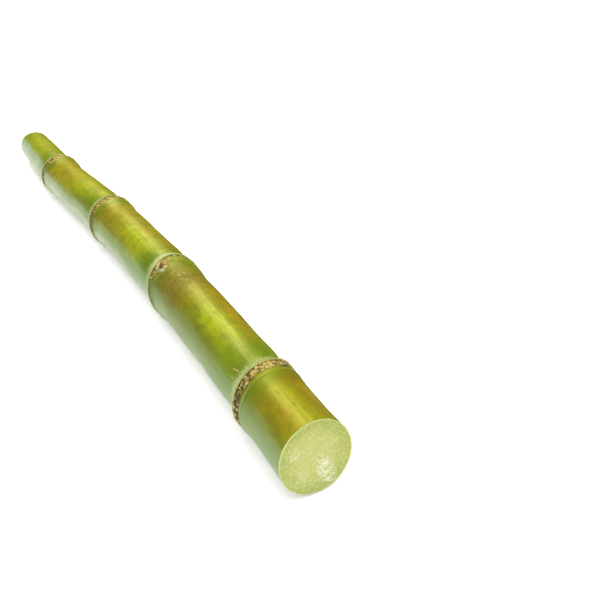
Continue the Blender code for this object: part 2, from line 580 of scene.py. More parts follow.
def fleck_group():
    """Scattered dots: the inner part of some cells of a Voronoi pattern, picked by their random colour."""
    found = bpy.data.node_groups.get("cane_flecks")
    if found:
        return found
    inputs = (
        ("Place", "Vector", (0, 0, 0)),
        ("Scale", "Float", 900.0),
        ("Size", "Float", 0.35),
        ("Share", "Float", 0.2),
        ("Along", "Float", 1.0),
    )
    tree, nodes, given, result = new_group("cane_flecks", inputs)
    scale = nodes.add("ShaderNodeCombineXYZ", {0: given["Along"], 1: 1.0, 2: 1.0})
    place = nodes.add("ShaderNodeVectorMath", {0: given["Place"], 1: scale.outputs[0]}, operation="MULTIPLY")
    cells = nodes.add("ShaderNodeTexVoronoi", {"Vector": place.outputs[0], "Scale": given["Scale"]})
    pick = nodes.add("ShaderNodeSeparateXYZ", {0: cells.outputs["Color"]}).outputs[0]
    picked = nodes.math("LESS_THAN", pick, given["Share"])
    inner = nodes.times(given["Size"], 0.55)
    dot = nodes.between(cells.outputs["Distance"], inner, given["Size"], 1.0, 0.0)
    tree.links.new(nodes.times(dot, picked), result.inputs["Mask"])
    return tree


def new_material(name, roughness, specular, tint=(1, 1, 1, 1), ior=1.45):
    """An empty Principled material and its parts: material, nodes and shader."""
    material = bpy.data.materials.new(name)
    material.use_nodes = True
    nodes = Nodes(material.node_tree)
    shader = material.node_tree.nodes["Principled BSDF"]
    shader.inputs["Roughness"].default_value = roughness
    shader.inputs["Specular IOR Level"].default_value = specular
    shader.inputs["Specular Tint"].default_value = tint
    shader.inputs["IOR"].default_value = ior
    return material, nodes, shader


def finish_surface(nodes, shader, base, roughness, heights):
    """Links a colour, a roughness and a bump made of (height, distance) pairs to the shader."""
    tree = nodes.tree
    tree.links.new(base, shader.inputs["Base Color"])
    tree.links.new(roughness, shader.inputs["Roughness"])
    normal = {}
    for height, distance in heights:
        inputs = {"Strength": 1.0, "Distance": distance, "Height": height, **normal}
        normal = {"Normal": nodes.add("ShaderNodeBump", inputs).outputs[0]}
    tree.links.new(normal["Normal"], shader.inputs["Normal"])


def rind_material(colours):
    """Glossy rind: olive and lemon, with a painted glow round the highlight on top, under patches of painted
    shade, fresh green, gold, rust and bruise and a powdery film that is partly real bloom and partly a
    painted reflection of the pale floor, streaked and flecked, with the wax, the root band (with painted
    shade in its grooves), the growth ring and the lip of each node over them by the zone map, whose second
    number is the distance past the scar in cm."""
    found = bpy.data.materials.get("cane_rind_fine")
    if found:
        return found
    material, nodes, shader = new_material("cane_rind_fine", 0.45, 1.0, (1.0, 0.94, 0.2, 1), 1.39)
    streaks, patches, flecks = streak_group(), patch_group(), fleck_group()
    place = nodes.add("ShaderNodeAttribute", attribute_name="straight").outputs["Vector"]
    paint = nodes.add("ShaderNodeAttribute", attribute_name="paint")
    gold, bloom_and_sheen, fresh = nodes.add("ShaderNodeSeparateColor", {0: paint.outputs["Color"]}).outputs
    bruise = paint.outputs["Alpha"]
    marks = nodes.add("ShaderNodeAttribute", attribute_name="marks")
    waxy, tan, pale = nodes.add("ShaderNodeSeparateColor", {0: marks.outputs["Color"]}).outputs
    shade = marks.outputs["Alpha"]
    rusty = nodes.given("rusty")
    wax_reach = nodes.given("wax_reach")
    lip_pale = nodes.given("lip_pale")
    husked = nodes.given("husked")
    zone_map = nodes.add("ShaderNodeUVMap", uv_map="zones").outputs[0]
    zone = nodes.add("ShaderNodeSeparateXYZ", {0: zone_map}).outputs[1]

    fine = nodes.use(streaks, Place=place, Along=25.0, Across=1500.0, Low=0.25, High=0.75)
    stripes = nodes.use(streaks, Place=place, Along=22.0, Across=190.0, Low=0.2, High=0.8)
    across = nodes.use(streaks, Place=place, Along=1100.0, Across=90.0, Low=0.4, High=0.6)
    cloud = nodes.use(patches, Place=place, Scale=85.0, Detail=4.0, Low=0.35, High=0.65)
    grain = nodes.use(patches, Place=place, Scale=900.0, Detail=3.0, Low=0.3, High=0.7)
    torn = nodes.use(patches, Place=place, Scale=520.0, Detail=4.0, Low=0.36, High=0.64)
    specks = nodes.use(flecks, Place=place, Scale=420.0, Size=0.24, Share=0.12, Along=1.0)
    mottle = nodes.use(patches, Place=place, Scale=320.0, Detail=5.0, Low=0.5, High=0.68)
    dashes = nodes.use(flecks, Place=place, Scale=620.0, Size=0.42, Share=0.45, Along=0.3)
    blotch = nodes.use(patches, Place=place, Scale=210.0, Detail=5.0, Low=0.36, High=0.64)
    broad = nodes.plus(nodes.times(stripes, 0.6), nodes.times(blotch, 0.4))

    lemon = nodes.times(broad, nodes.between(cloud, 0, 1, 0.1, 0.75))
    # Paler rind where the pale patches lie, partly a painted glow round the highlight on top
    lemon = nodes.larger(lemon, nodes.times(pale, nodes.between(broad, 0, 1, 0.7, 1.0)))
    base = nodes.mix(lemon, colours.olive, colours.lemon)
    # Painted shade: darker olive where the shade patches lie
    base = nodes.mix(nodes.times(shade, nodes.between(broad, 0, 1, 1.0, 0.7)), base, colours.shade)
    base = nodes.mix(nodes.times(fresh, nodes.between(broad, 0, 1, 1.0, 0.8)), base, colours.fresh)
    young = nodes.times(nodes.band(zone, 0.85, 1.35, 0.25), 0.65)
    base = nodes.mix(young, base, colours.fresh)
    golden = nodes.times(gold, nodes.between(broad, 0, 1, 0.6, 1.1), clamp=True)
    golden = nodes.times(golden, nodes.minus(1.0, nodes.band(zone, -0.1, 1.15, 0.3)))
    ripest = nodes.mix(nodes.between(golden, 0.72, 1.0), colours.gold, colours.amber)
    base = nodes.mix(golden, base, ripest)
    base = nodes.mix(nodes.times(nodes.times(mottle, 0.6), golden), base, colours.rust)
    rust = nodes.times(rusty, nodes.larger(nodes.times(dashes, 0.8), broad))
    base = nodes.mix(rust, base, colours.rust)
    hurt = nodes.times(bruise, nodes.between(torn, 0, 1, 0.6, 1.0))
    hurt = nodes.times(hurt, nodes.between(across, 0, 1, 0.62, 1.0))
    base = nodes.mix(hurt, base, colours.bruise)
    darker = nodes.plus(nodes.between(fine, 0, 1, 0.0, 0.2), nodes.between(cloud, 0, 0.5, 0.16, 0.0))
    darker = nodes.plus(darker, nodes.between(grain, 0, 1, 0.2, 0.0))
    darker = nodes.plus(darker, nodes.between(blotch, 0, 0.6, 0.28, 0.0))
    base = nodes.mix(darker, base, nodes.mix(golden, colours.shade, colours.rust))
    base = nodes.mix(nodes.times(specks, 0.5), base, colours.bruise)
    # The powdery film on the -Y flank: partly real waxy bloom, partly a painted reflection of the pale floor,
    # whiter where thick and towards the root end
    thick = nodes.larger(nodes.between(bloom_and_sheen, 0.5, 1.0), nodes.times(nodes.given("frosty_sheen"), 0.75))
    powder_and_sheen = nodes.mix(thick, colours.bloom_and_sheen, colours.frost_and_sheen)
    film = nodes.times(nodes.between(bloom_and_sheen, 0.0, 0.5), nodes.between(cloud, 0, 1, 0.75, 0.95))
    film = nodes.times(film, nodes.between(hurt, 0, 1, 1.0, 0.35))
    base = nodes.mix(film, base, powder_and_sheen)
    # More painted shade over the powdery film where the shade patches lie
    base = nodes.mix(nodes.times(nodes.times(shade, film), 0.75), base, colours.shade)

    frosting = nodes.use(patches, Place=place, Scale=1300.0, Detail=2.0, Low=0.35, High=0.65)
    frayed = nodes.plus(zone, nodes.between(torn, 0, 1, -0.04, 0.04))
    within = nodes.plus(frayed, wax_reach)
    wax = nodes.times(nodes.between(within, -0.1, 0.55), nodes.between(zone, -0.02, 0.05, 1.0, 0.0))
    wax = nodes.plus(wax, nodes.between(frosting, 0, 1, -0.45, 0.2))
    wax = nodes.times(nodes.between(wax, 0.2, 0.85), waxy)
    base = nodes.mix(nodes.times(wax, 0.92), base, colours.wax)

    ragged = nodes.plus(zone, nodes.between(torn, 0, 1, -0.03, 0.03))
    husk = nodes.plus(tan, nodes.between(torn, 0, 1, -0.45, 0.2), clamp=True)
    husk = nodes.minus(husk, nodes.between(grain, 0.2, 0.8, 0.3, -0.15), clamp=True)
    band_colour = nodes.mix(husk, colours.bark, colours.straw)
    scar = nodes.times(nodes.band(ragged, 0.03, 0.50, 0.04), husked)
    base = nodes.mix(scar, base, band_colour)
    # A dark line just past the lip: painted shade under its edge, stronger where the root band is dark
    groove = nodes.times(nodes.band(ragged, 0.055, 0.115, 0.02), nodes.between(tan, 0.0, 1.0, 0.95, 0.65))
    base = nodes.mix(groove, base, colours.bark)
    ring = nodes.band(zone, 0.58, 0.80, 0.04)
    base = nodes.mix(nodes.times(ring, 0.36), base, colours.ring)
    lip = nodes.band(zone, -0.03, 0.035, 0.015)
    lip_colour = nodes.mix(lip_pale, colours.straw, colours.wax)
    base = nodes.mix(nodes.times(lip, 0.8), base, lip_colour)
    # Painted shade in the groove below the growth ring and in the fine line past it
    line = nodes.larger(nodes.band(ragged, 0.52, 0.55, 0.02), nodes.band(zone, 0.85, 0.88, 0.02))
    base = nodes.mix(nodes.times(line, 0.35), base, colours.shade)

    dull = nodes.larger(nodes.larger(wax, nodes.times(film, 0.3)), scar)
    dull = nodes.larger(dull, nodes.times(hurt, 0.6))
    roughness = nodes.between(dull, 0, 1, 0.45, 0.8)
    roughness = nodes.plus(roughness, nodes.between(fine, 0, 1, -0.02, 0.05))
    heights = ((fine, 0.03 * MM), (nodes.times(torn, scar), 0.4 * MM), (grain, 0.012 * MM))
    finish_surface(nodes, shader, base, roughness, heights)
    return material


def pith_material(colours):
    """Moist sawn pith: a soft grain, greener towards the rind, with paler fibre ends and moist patches
    painted pale as the glint of wet sap.
    """
    found = bpy.data.materials.get("cane_pith")
    if found:
        return found
    material, nodes, shader = new_material("cane_pith", 0.5, 0.4, (1.0, 1.0, 0.8, 1))
    patches, flecks = patch_group(), fleck_group()
    place = nodes.add("ShaderNodeTexCoord").outputs["Object"]
    rim = nodes.given("rim")
    damp_and_glint = nodes.given("damp_and_glint")
    big = nodes.use(flecks, Place=place, Scale=950.0, Size=0.46, Share=0.75)
    small = nodes.use(flecks, Place=place, Scale=1700.0, Size=0.5, Share=0.7)
    cloud = nodes.use(patches, Place=place, Scale=120.0, Detail=3.0, Low=0.3, High=0.7)
    wet = nodes.use(patches, Place=place, Scale=800.0, Detail=6.0, Low=0.4, High=0.66)
    grain = nodes.use(patches, Place=place, Scale=1500.0, Detail=3.0, Low=0.3, High=0.7)
    outer = nodes.plus(rim, nodes.between(cloud, 0, 1, -0.1, 0.1))
    base = nodes.mix(nodes.between(outer, 0.35, 1.0), colours.pith, colours.pith_edge)
    base = nodes.mix(nodes.times(grain, 0.45), base, colours.pith_edge)
    base = nodes.mix(nodes.times(big, 0.32), base, colours.pith_fibre)
    base = nodes.mix(nodes.times(small, 0.35), base, colours.pith_fibre)
    # Moist patches: really glossier, and painted pale as the glint of wet sap
    moist = nodes.times(damp_and_glint, wet)
    base = nodes.mix(nodes.times(moist, 0.8), base, colours.juice_glint)
    edge = nodes.between(rim, 0.965, 0.985)
    base = nodes.mix(nodes.times(edge, 0.5), base, colours.pith_fibre)
    roughness = nodes.between(moist, 0, 1, 0.6, 0.25)
    heights = ((big, 0.05 * MM), (grain, 0.04 * MM))
    finish_surface(nodes, shader, base, roughness, heights)
    return material


def sheath_material(colours):
    """Dry torn sheath: straw to bark by each piece's own tint, waxy where the piece says so."""
    found = bpy.data.materials.get("cane_sheath")
    if found:
        return found
    material, nodes, shader = new_material("cane_sheath", 0.8, 0.25)
    place = nodes.add("ShaderNodeTexCoord").outputs["Object"]
    tint = nodes.given("tint")
    torn = nodes.use(patch_group(), Place=place, Scale=900.0, Detail=4.0, Low=0.35, High=0.65)
    share = nodes.plus(tint, nodes.between(torn, 0, 1, -0.3, 0.2), clamp=True)
    waxy = nodes.given("waxy")
    base = nodes.mix(share, colours.bark, colours.straw)
    base = nodes.mix(waxy, base, colours.wax)
    roughness = nodes.between(torn, 0, 1, 0.9, 0.7)
    finish_surface(nodes, shader, base, roughness, ((torn, 0.08 * MM),))
    return material


def root_dot_material(colours):
    """Corky root dots: cream crowns on brown feet."""
    found = bpy.data.materials.get("cane_root_dot")
    if found:
        return found
    material, nodes, shader = new_material("cane_root_dot", 0.6, 0.3)
    place = nodes.add("ShaderNodeTexCoord").outputs["Object"]
    tint = nodes.given("tint")
    grain = nodes.use(patch_group(), Place=place, Scale=1800.0, Detail=3.0, Low=0.3, High=0.7)
    share = nodes.plus(tint, nodes.between(grain, 0, 1, -0.2, 0.1), clamp=True)
    base = nodes.mix(share, colours.bark, colours.root_dot)
    roughness = nodes.between(grain, 0, 1, 0.7, 0.5)
    finish_surface(nodes, shader, base, roughness, ((grain, 0.05 * MM),))
    return material


def floor_material(studio):
    """A pale matt floor that glows a little to the camera. Glossy pieces reflect it brightly on its -Y
    side and dimly on its +Y side."""
    material, nodes, shader = new_material("floor_pale", 0.9, 0.1)
    path = nodes.add("ShaderNodeLightPath").outputs
    place = nodes.add("ShaderNodeTexCoord").outputs["Object"]
    bright = nodes.between(nodes.add("ShaderNodeSeparateXYZ", {0: place}).outputs[1], -0.03, 0.03, 1.0, 0.0)
    reflected = nodes.mix(bright, (studio.floor_reflected,) * 3, (studio.floor_tone,) * 3)
    seen = nodes.mix(path["Is Glossy Ray"], (studio.floor_tone,) * 3, reflected)
    glow = nodes.times(path["Is Camera Ray"], studio.floor_glow)
    sheen = nodes.times(nodes.times(path["Is Glossy Ray"], bright), studio.floor_sheen)
    glow = nodes.plus(glow, sheen)
    nodes.tree.links.new(seen, shader.inputs["Base Color"])
    nodes.tree.links.new(glow, shader.inputs["Emission Strength"])
    shader.inputs["Emission Color"].default_value = (1, 1, 1, 1)
    return material


def soft_patches(at, angle, patches):
    """Sum of soft oval patches: (mm from the root cut, degrees, mm along, mm round, strength)."""
    total = np.zeros(np.broadcast(at, angle).shape)
    for place, degrees, along, around, strength in patches:
        turn = (angle - math.radians(degrees) + math.pi) % TURN - math.pi
        total = total + strength * hump(at - place * MM, along * MM) * hump(turn * PAINT_RADIUS, around)
    return total


GOLD_PATCHES = (
    (516, 117, 32, 8, 0.7),
    (508, 64, 36, 16, 0.6),
    (500, 290, 45, 24, 0.7),
    (415, 58, 60, 11, 0.8),
    (434, 66, 36, 7, 0.4),
    (392, 76, 34, 8, 0.3),
    (385, 118, 34, 14, 0.5),
    (400, 300, 55, 20, 0.6),
    (264, 124, 40, 13, 0.5),
    (298, 70, 60, 12, 0.75),
    (325, 62, 30, 8, 0.2),
    (262, 62, 34, 10, 0.4),
    (275, 260, 60, 18, 0.6),
    (142, 122, 40, 14, 0.45),
    (165, 112, 50, 16, 0.4),
    (140, 72, 50, 12, 0.5),
    (200, 80, 40, 8, 0.5),
    (160, 280, 60, 18, 0.6),
    (300, 130, 30, 7, 0.3),
    (70, 70, 50, 12, 0.4),
)
# Patches of painted shade on the flanks
SHADE_PATCHES = (
    (490, 128, 22, 11, 0.9),
    (512, 138, 30, 5, 1.0),
    (488, 50, 12, 9, 0.5),
    (390, 116, 34, 13, 0.9),
    (400, 142, 66, 7, 1.0),
    (392, 156, 34, 13, 0.65),
    (440, 150, 36, 8, 0.5),
    (500, 144, 24, 8, 0.6),
    (378, 72, 16, 10, 0.5),
    (256, 135, 30, 7, 0.9),
    (250, 66, 9, 14, 0.8),
    (285, 144, 44, 4, 0.6),
    (345, 140, 18, 6, 0.8),
    (122, 132, 10, 8, 1.0),
    (215, 142, 30, 5, 0.7),
    (170, 60, 40, 7, 0.5),
    (215, 62, 24, 7, 0.6),
    (345, 62, 22, 16, 0.7),
    (450, 66, 26, 10, 0.6),
    (104, 90, 10, 40, 0.5),
)
# Paler lemon rind; along the top it is also a painted glow that widens the highlight
PALE_AND_GLOW_PATCHES = (
    (158, 84, 56, 14, 1.0),
    (205, 90, 36, 14, 0.9),
    (170, 118, 60, 14, 0.6),
    (50, 112, 60, 24, 0.9),
    (318, 116, 40, 13, 0.9),
    (300, 92, 70, 8, 0.5),
    (290, 118, 50, 12, 0.5),
    (165, 132, 60, 8, 0.5),
    (225, 100, 20, 12, 0.5),
    (428, 110, 40, 12, 0.8),
    (450, 88, 50, 8, 0.4),
    (508, 92, 30, 8, 0.5),
    (508, 62, 34, 12, 1.0),
    (210, 66, 50, 8, 0.4),
    (100, 112, 30, 12, 0.4),
)
BRUISES = (
    (377, 122, 17, 14, 1.25),
    (380, 94, 17, 16, 0.9),
    (384, 66, 12, 8, 0.6),
    (384, 142, 20, 10, 0.9),
    (396, 156, 24, 8, 0.5),
    (251, 116, 9, 6, 0.5),
    (262, 126, 12, 3, 0.4),
    (122, 112, 8, 5, 0.4),
    (160, 150, 14, 3, 0.5),
    (330, 250, 16, 6, 0.6),
    (190, 20, 12, 5, 0.5),
)
RUST_PATCHES = (
    (520, 58, 20, 10, 0.7),
    (508, 122, 26, 6, 0.7),
    (502, 72, 26, 9, 0.5),
    (489, 60, 9, 12, 1.0),
    (395, 54, 26, 8, 0.5),
    (335, 66, 16, 6, 0.4),
    (150, 104, 30, 8, 0.4),
)
# For each node: wax on its -Y flank, on top and elsewhere, lightness of its root band,
# reach of the wax in mm, how waxy its lip is, how much torn sheath hides its root band away from
# the top, and the share of its root dots that show
LIP_WAXY, DOTS_SHOWN = 5, 7
NODE_LOOKS = (
    (0.5, 0.5, 0.5, 0.55, 10.0, 0.25, 0.8, 0.5),
    (0.65, 0.6, 0.6, 0.6, 9.0, 0.25, 0.8, 0.8),
    (0.45, 1.0, 0.8, 0.75, 11.0, 0.75, 0.2, 0.25),
    (1.0, 0.48, 0.4, 0.6, 8.0, 0.15, 0.92, 0.95),
)


def skin_stations(stalk):
    """Distances of the skin's rings from the root cut: wide along the internodes, close at the nodes."""
    spans = [np.arange(0, stalk.length, 2.6 * MM)]
    for scar in stalk.scars:
        spans = [span[(span < scar - NODE_BEFORE) | (span > scar + NODE_AFTER)] for span in spans]
    for scar in stalk.scars:
        spans.append(scar + np.arange(-NODE_BEFORE, -1.2 * MM, 0.8 * MM))
        spans.append(scar + np.arange(-1.2 * MM, 8 * MM, 0.24 * MM))
        spans.append(scar + np.arange(8 * MM, NODE_AFTER, 1.0 * MM))
    return np.unique(np.concatenate((*spans, [stalk.length])))


def paint_masks(stalk, at, angle):
    """Gold, bloom, fresh green and bruise for each point, from 0 to 1.

    Gold and bruise are soft patches, with gold and fresh green either side of each scar as well. The
    bloom lies on the -Y flank, wider and thicker towards the root end: partly a real waxy bloom and partly a
    painted reflection of the pale floor.
    """
    soft = waves(at, angle, Seed.paint, 20, 4, 40 * MM)
    gold = soft_patches(at, angle, GOLD_PATCHES)
    bruise = soft_patches(at, angle, BRUISES)
    fresh = np.zeros(gold.shape)
    for scar in stalk.scars:
        past = at - scar
        fresh = fresh + 1.25 * hump(past + 7 * MM, 34 * MM) * (1 - rise(past, -1 * MM, 6 * MM))
        ripe = rise(past, 6 * MM, 14 * MM) * (1 - rise(past, 16 * MM, 60 * MM))
        gold = gold + 0.3 * ripe * (0.7 + 0.3 * soft)
    fresh = fresh * (0.8 + 0.15 * soft) * (0.78 - 0.22 * np.cos(angle)) * (0.72 + 0.28 * rise(at, 0.24, 0.3))
    # The film on the -Y flank: partly real waxy bloom, partly a painted reflection of the pale floor, wider
    # and whiter towards the root end
    degrees = np.degrees(angle) + 1.0 * waves(at, 0 * angle, Seed.flank, 12, 0, 40 * MM)
    degrees = degrees + 14 * rise(0.13 - at, 0, 0.04)
    degrees = degrees - 5 * rise(at, 0.12, 0.14) * (1 - rise(at, 0.35, 0.37))
    older = rise(0.3 - at, 0, 0.2)
    flank = rise(degrees, 136 - 8 * older, 162 + 16 * older) * (1 - rise(degrees, 205, 255))
    thick = rise(degrees + 18 * older, 150, 195) * (0.3 + 0.7 * rise(0.42 - at, 0, 0.18))
    bloom_and_sheen = flank * (0.5 + 0.05 * soft + 0.5 * thick)
    masks = np.stack(np.broadcast_arrays(gold, bloom_and_sheen, fresh, bruise), axis=-1)
    return np.clip(masks, 0, 1)


def mark_masks(stalk, at, angle):
    """Wax, lightness of the root band, paleness and shade for each point, from 0 to 1; then the reach
    of the wax in cm, how waxy the lip is and how much torn sheath hides the root band."""
    nearest = np.abs(at[..., None] - stalk.scars).argmin(axis=-1)
    looks = np.moveaxis(np.array(NODE_LOOKS)[nearest], -1, 0)
    wax_flank, wax_top, wax_else, lightness, reach, lip_waxy, husk_else = looks[:7]
    flank = hump(angle - math.radians(165), math.radians(65))
    top = hump(angle - math.radians(100), math.radians(50))
    wax = wax_else + (wax_flank - wax_else) * flank + (wax_top - wax_else) * top
    low = np.where(nearest == len(stalk.scars) - 1, 0.12, 0.42)
    tan = lightness * (low + (1.2 - low) * hump(angle - math.radians(88), math.radians(80)))
    tan = tan + 0.12 * waves(0 * at, angle, Seed.husk, 16, 14, 1.0)
    masks = (wax, tan, soft_patches(at, angle, PALE_AND_GLOW_PATCHES), soft_patches(at, angle, SHADE_PATCHES))
    husked = husk_else + (0.95 - husk_else) * hump(angle - math.radians(118), math.radians(38))
    return np.clip(np.stack(masks, axis=-1), 0, 1), reach / 10, lip_waxy, husked


def build_skin(context):
    """The stalk's skin: rings of the skin function at every station, closed at each cut by the rind's
    edge and a shallow seat for the pith."""
    sizes = context.scene.cane_sizes
    stalk = Stalk(sizes)
    angle = np.linspace(0, TURN, sizes.segments, endpoint=False)
    at = skin_stations(stalk)
    grid = stalk.skin(at[:, None], angle)
    seats = []
    for end, inward in ((0, 1), (-1, -1)):
        mouth = at[end] + 0 * angle
        floor = at[end] + inward * CUT_SEAT + 0 * angle
        inside = stalk.radius(at[end]) - sizes.rind_edge + 0 * angle
        seat = (
            stalk.section(mouth, angle, inside),
            stalk.section(floor, angle, inside - 0.05 * MM),
            stalk.section(floor, angle, 0 * inside),
        )
        seats.append(seat)
    places = np.concatenate((np.stack(seats[0][::-1]), grid, np.stack(seats[1])))
    points, fours, threes = closed_shell(places)
    colours = context.scene.cane_colours
    materials = (rind_material(colours), pith_material(colours))
    piece = make_piece("cane_skin", points, (fours, threes), materials)
    mesh = piece.data
    columns = len(angle)
    seat_rows = 2  # a seat's third row is a pole of the closed shell

    def with_poles(values):
        """Values of the grid's points, with zeros for the two poles after them."""
        return np.concatenate((values, np.zeros((2, *values.shape[1:]))))

    ats = np.concatenate((np.full(seat_rows, at[0]), at, np.full(seat_rows, at[-1])))
    flat_ats = np.repeat(ats, columns)
    flat_angles = np.tile(angle, len(ats))
    radius = stalk.radius(flat_ats)
    straight = np.stack((flat_ats, radius * np.cos(flat_angles), radius * np.sin(flat_angles)), axis=-1)
    give_vectors(mesh, "straight", with_poles(straight))
    give_colours(mesh, "paint", with_poles(paint_masks(stalk, flat_ats, flat_angles)))
    marks, wax_reach, lip_pale, husked = mark_masks(stalk, flat_ats, flat_angles)
    give_colours(mesh, "marks", with_poles(marks))
    give_numbers(mesh, "wax_reach", with_poles(wax_reach))
    give_numbers(mesh, "lip_pale", with_poles(lip_pale))
    give_numbers(mesh, "husked", with_poles(husked))
    rusty = np.clip(soft_patches(flat_ats, flat_angles, RUST_PATCHES), 0, 1)
    give_numbers(mesh, "rusty", with_poles(rusty))
    # Whiter film towards the root end: painted reflection of the pale floor
    give_numbers(mesh, "frosty_sheen", with_poles(rise(0.3 - flat_ats, 0, 0.2)))
    give_numbers(mesh, "rim", np.ones(len(flat_ats) + 2))

    gaps = len(ats) - 1
    middle = (ats[1:] + ats[:-1]) / 2
    nearest = np.abs(middle[:, None] - stalk.scars[None, :]).argmin(axis=1)
    corner_at = np.stack((ats[:-1], ats[:-1], ats[1:], ats[1:]), axis=-1)[:, None, :]
    corner_angle = np.stack((angle, np.roll(angle, -1), np.roll(angle, -1), angle), axis=-1)[None, :, :]
    zones = np.zeros((gaps, columns, 4))
    for node in range(len(stalk.scars)):
        rows = nearest == node
        zones[rows] = stalk.zone(node, corner_at[rows], corner_angle)
    around = np.arange(columns) / columns
    u = np.stack((around, around + 1 / columns, around + 1 / columns, around), axis=-1)[None]
    uv = np.stack(np.broadcast_arrays(u, zones / (10 * MM)), axis=-1).reshape(-1, 2)
    uv = np.concatenate((uv, np.zeros((len(threes) * 3, 2))))
    mesh.uv_layers.new(name="zones").uv.foreach_set("vector", uv.ravel().astype(np.float32))

    material_of = np.zeros((gaps, columns), np.int32)
    material_of[:seat_rows] = 1
    material_of[-seat_rows:] = 1
    material_of = np.concatenate((material_of.ravel(), np.ones(len(threes), np.int32)))
    mesh.polygons.foreach_set("material_index", material_of)
    mesh.set_sharp_from_angle(angle=math.radians(50))
    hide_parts(CAD_NODE)


def build_pith(context):
    """The pith at each cut: a polar grid across the section with saw ridges and fibre bumps on it,
    closed behind by a plain back set into the skin's seat."""
    sizes = context.scene.cane_sizes
    stalk = Stalk(sizes)
    colours = context.scene.cane_colours
    angle = np.linspace(0, TURN, 160, endpoint=False)
    share = np.linspace(0, 1, 56)[:, None]
    for name, at, outward in (("root_pith", 0.0, -1), ("tip_pith", stalk.length, 1)):
        reach = stalk.radius(at) - sizes.rind_edge + 0.02 * MM
        radius = reach * share
        stroke = (radius * np.cos(angle - 0.7) + 60 * MM) / (0.9 * MM) * TURN / 2
        saw = np.sin(stroke + 2 * waves(radius, angle, Seed.saw_wander, 9, 3, 30 * MM))
        bumps = waves(radius, angle, Seed.saw_rough, 70, 40, 1.2 * MM)
        rough = 0.035 * bumps * rise(share, 0, 0.3) + 0.02 * saw
        front = stalk.section(at + 0 * radius, angle, radius)
        proud = outward * MM * (0.04 + rough * (1 - share**8))
        front[..., 0] += proud
        back_radius = reach * np.array((1.0, 0.5, 0.0))[:, None]
        back_at = at - outward * PITH_BACK + 0 * back_radius
        back = stalk.section(back_at, angle + 0 * back_radius, back_radius)
        places = np.concatenate((front, back))
        if outward < 0:
            places = places[:, ::-1]
        places = places[::-1]
        points, fours, threes = closed_shell(places)
        piece = make_piece(name, points, (fours, threes), (pith_material(colours),))
        rim = np.concatenate((share[:, 0], (1.0, 0.5, 0.0)))[::-1][1:-1]
        rim = np.concatenate((np.repeat(rim, len(angle)), (0.0, 0.0)))
        give_numbers(piece.data, "rim", rim * (1 - sizes.rind_edge / stalk.radius(at)))
        place = np.array([tuple(vertex.co) for vertex in piece.data.vertices])
        centre = stalk.section(np.array(at), np.array(0.0), np.array(0.0))
        across, up = (place - centre)[:, 1] / MM, (place - centre)[:, 2] / MM
        # Where the cut face is moist, in three soft patches; it is painted pale there as a glint of wet sap
        damp_and_glint = 1.9 * hump(np.hypot((across - 2.0 + 0.25 * up) / 0.5, up + 8), 11)
        damp_and_glint = damp_and_glint + 0.4 * hump(np.hypot(across + 9, up + 8), 7)
        damp_and_glint = damp_and_glint + 0.6 * hump(np.hypot(across + 10, up - 5), 5)
        give_numbers(piece.data, "damp_and_glint", np.clip(damp_and_glint, 0, 1))
        piece.data.set_sharp_from_angle(angle=math.radians(50))


def build_collars(context):
    """The torn foot of the leaf sheath on each scar's lip: a thin ring whose section is two half
    ellipses, with a ragged height round it."""
    sizes = context.scene.cane_sizes
    stalk = Stalk(sizes)
    material = sheath_material(context.scene.cane_colours)
    angle = np.linspace(0, TURN, 560, endpoint=False)
    section = np.linspace(0, TURN, 8, endpoint=False)[:, None]
    for node, scar in enumerate(stalk.scars):
        ragged = waves(0 * angle, angle, Seed.lip_ragged + node, 60, 90, 1.0)
        slow = waves(0 * angle, angle, Seed.lip_slow + node, 8, 6, 1.0)
        lifted = 0.35 * hump(angle - math.radians(58), math.radians(42)) * (node > 1)
        height = MM * np.clip(0.20 + 0.09 * ragged + 0.09 * slow + lifted, 0.03, 0.8)
        half = MM * np.clip(0.24 + 0.05 * ragged + 0.06 * slow, 0.10, 0.5)
        wander = MM * (0.05 + 0.08 * slow)
        at = scar + wander + half * np.cos(section)
        lift = height * np.sin(section) * (np.sin(section) > 0) + 0.35 * MM * np.minimum(np.sin(section), 0)
        base = stalk.skin(scar + wander, angle)
        places = stalk.skin(at, angle + 0 * at, lift)
        places[..., 2] = np.maximum(places[..., 2], np.minimum(base[..., 2], 0.02 * MM))
        columns = len(angle)
        points = places.reshape(-1, 3)
        faces = quads(len(section) + 1, columns) % (len(section) * columns)
        piece = make_piece(f"leaf_scar_{node + 1}", points, (faces[:, ::-1],), (material,))
        tint = np.clip(0.95 + 0.10 * ragged + 0.1 * slow, 0, 1)
        give_numbers(piece.data, "tint", np.broadcast_to(tint, (len(section), columns)))
        waxy = np.clip(NODE_LOOKS[node][LIP_WAXY] + 0.08 * slow, 0, 1)
        give_numbers(piece.data, "waxy", np.broadcast_to(waxy, (len(section), columns)))


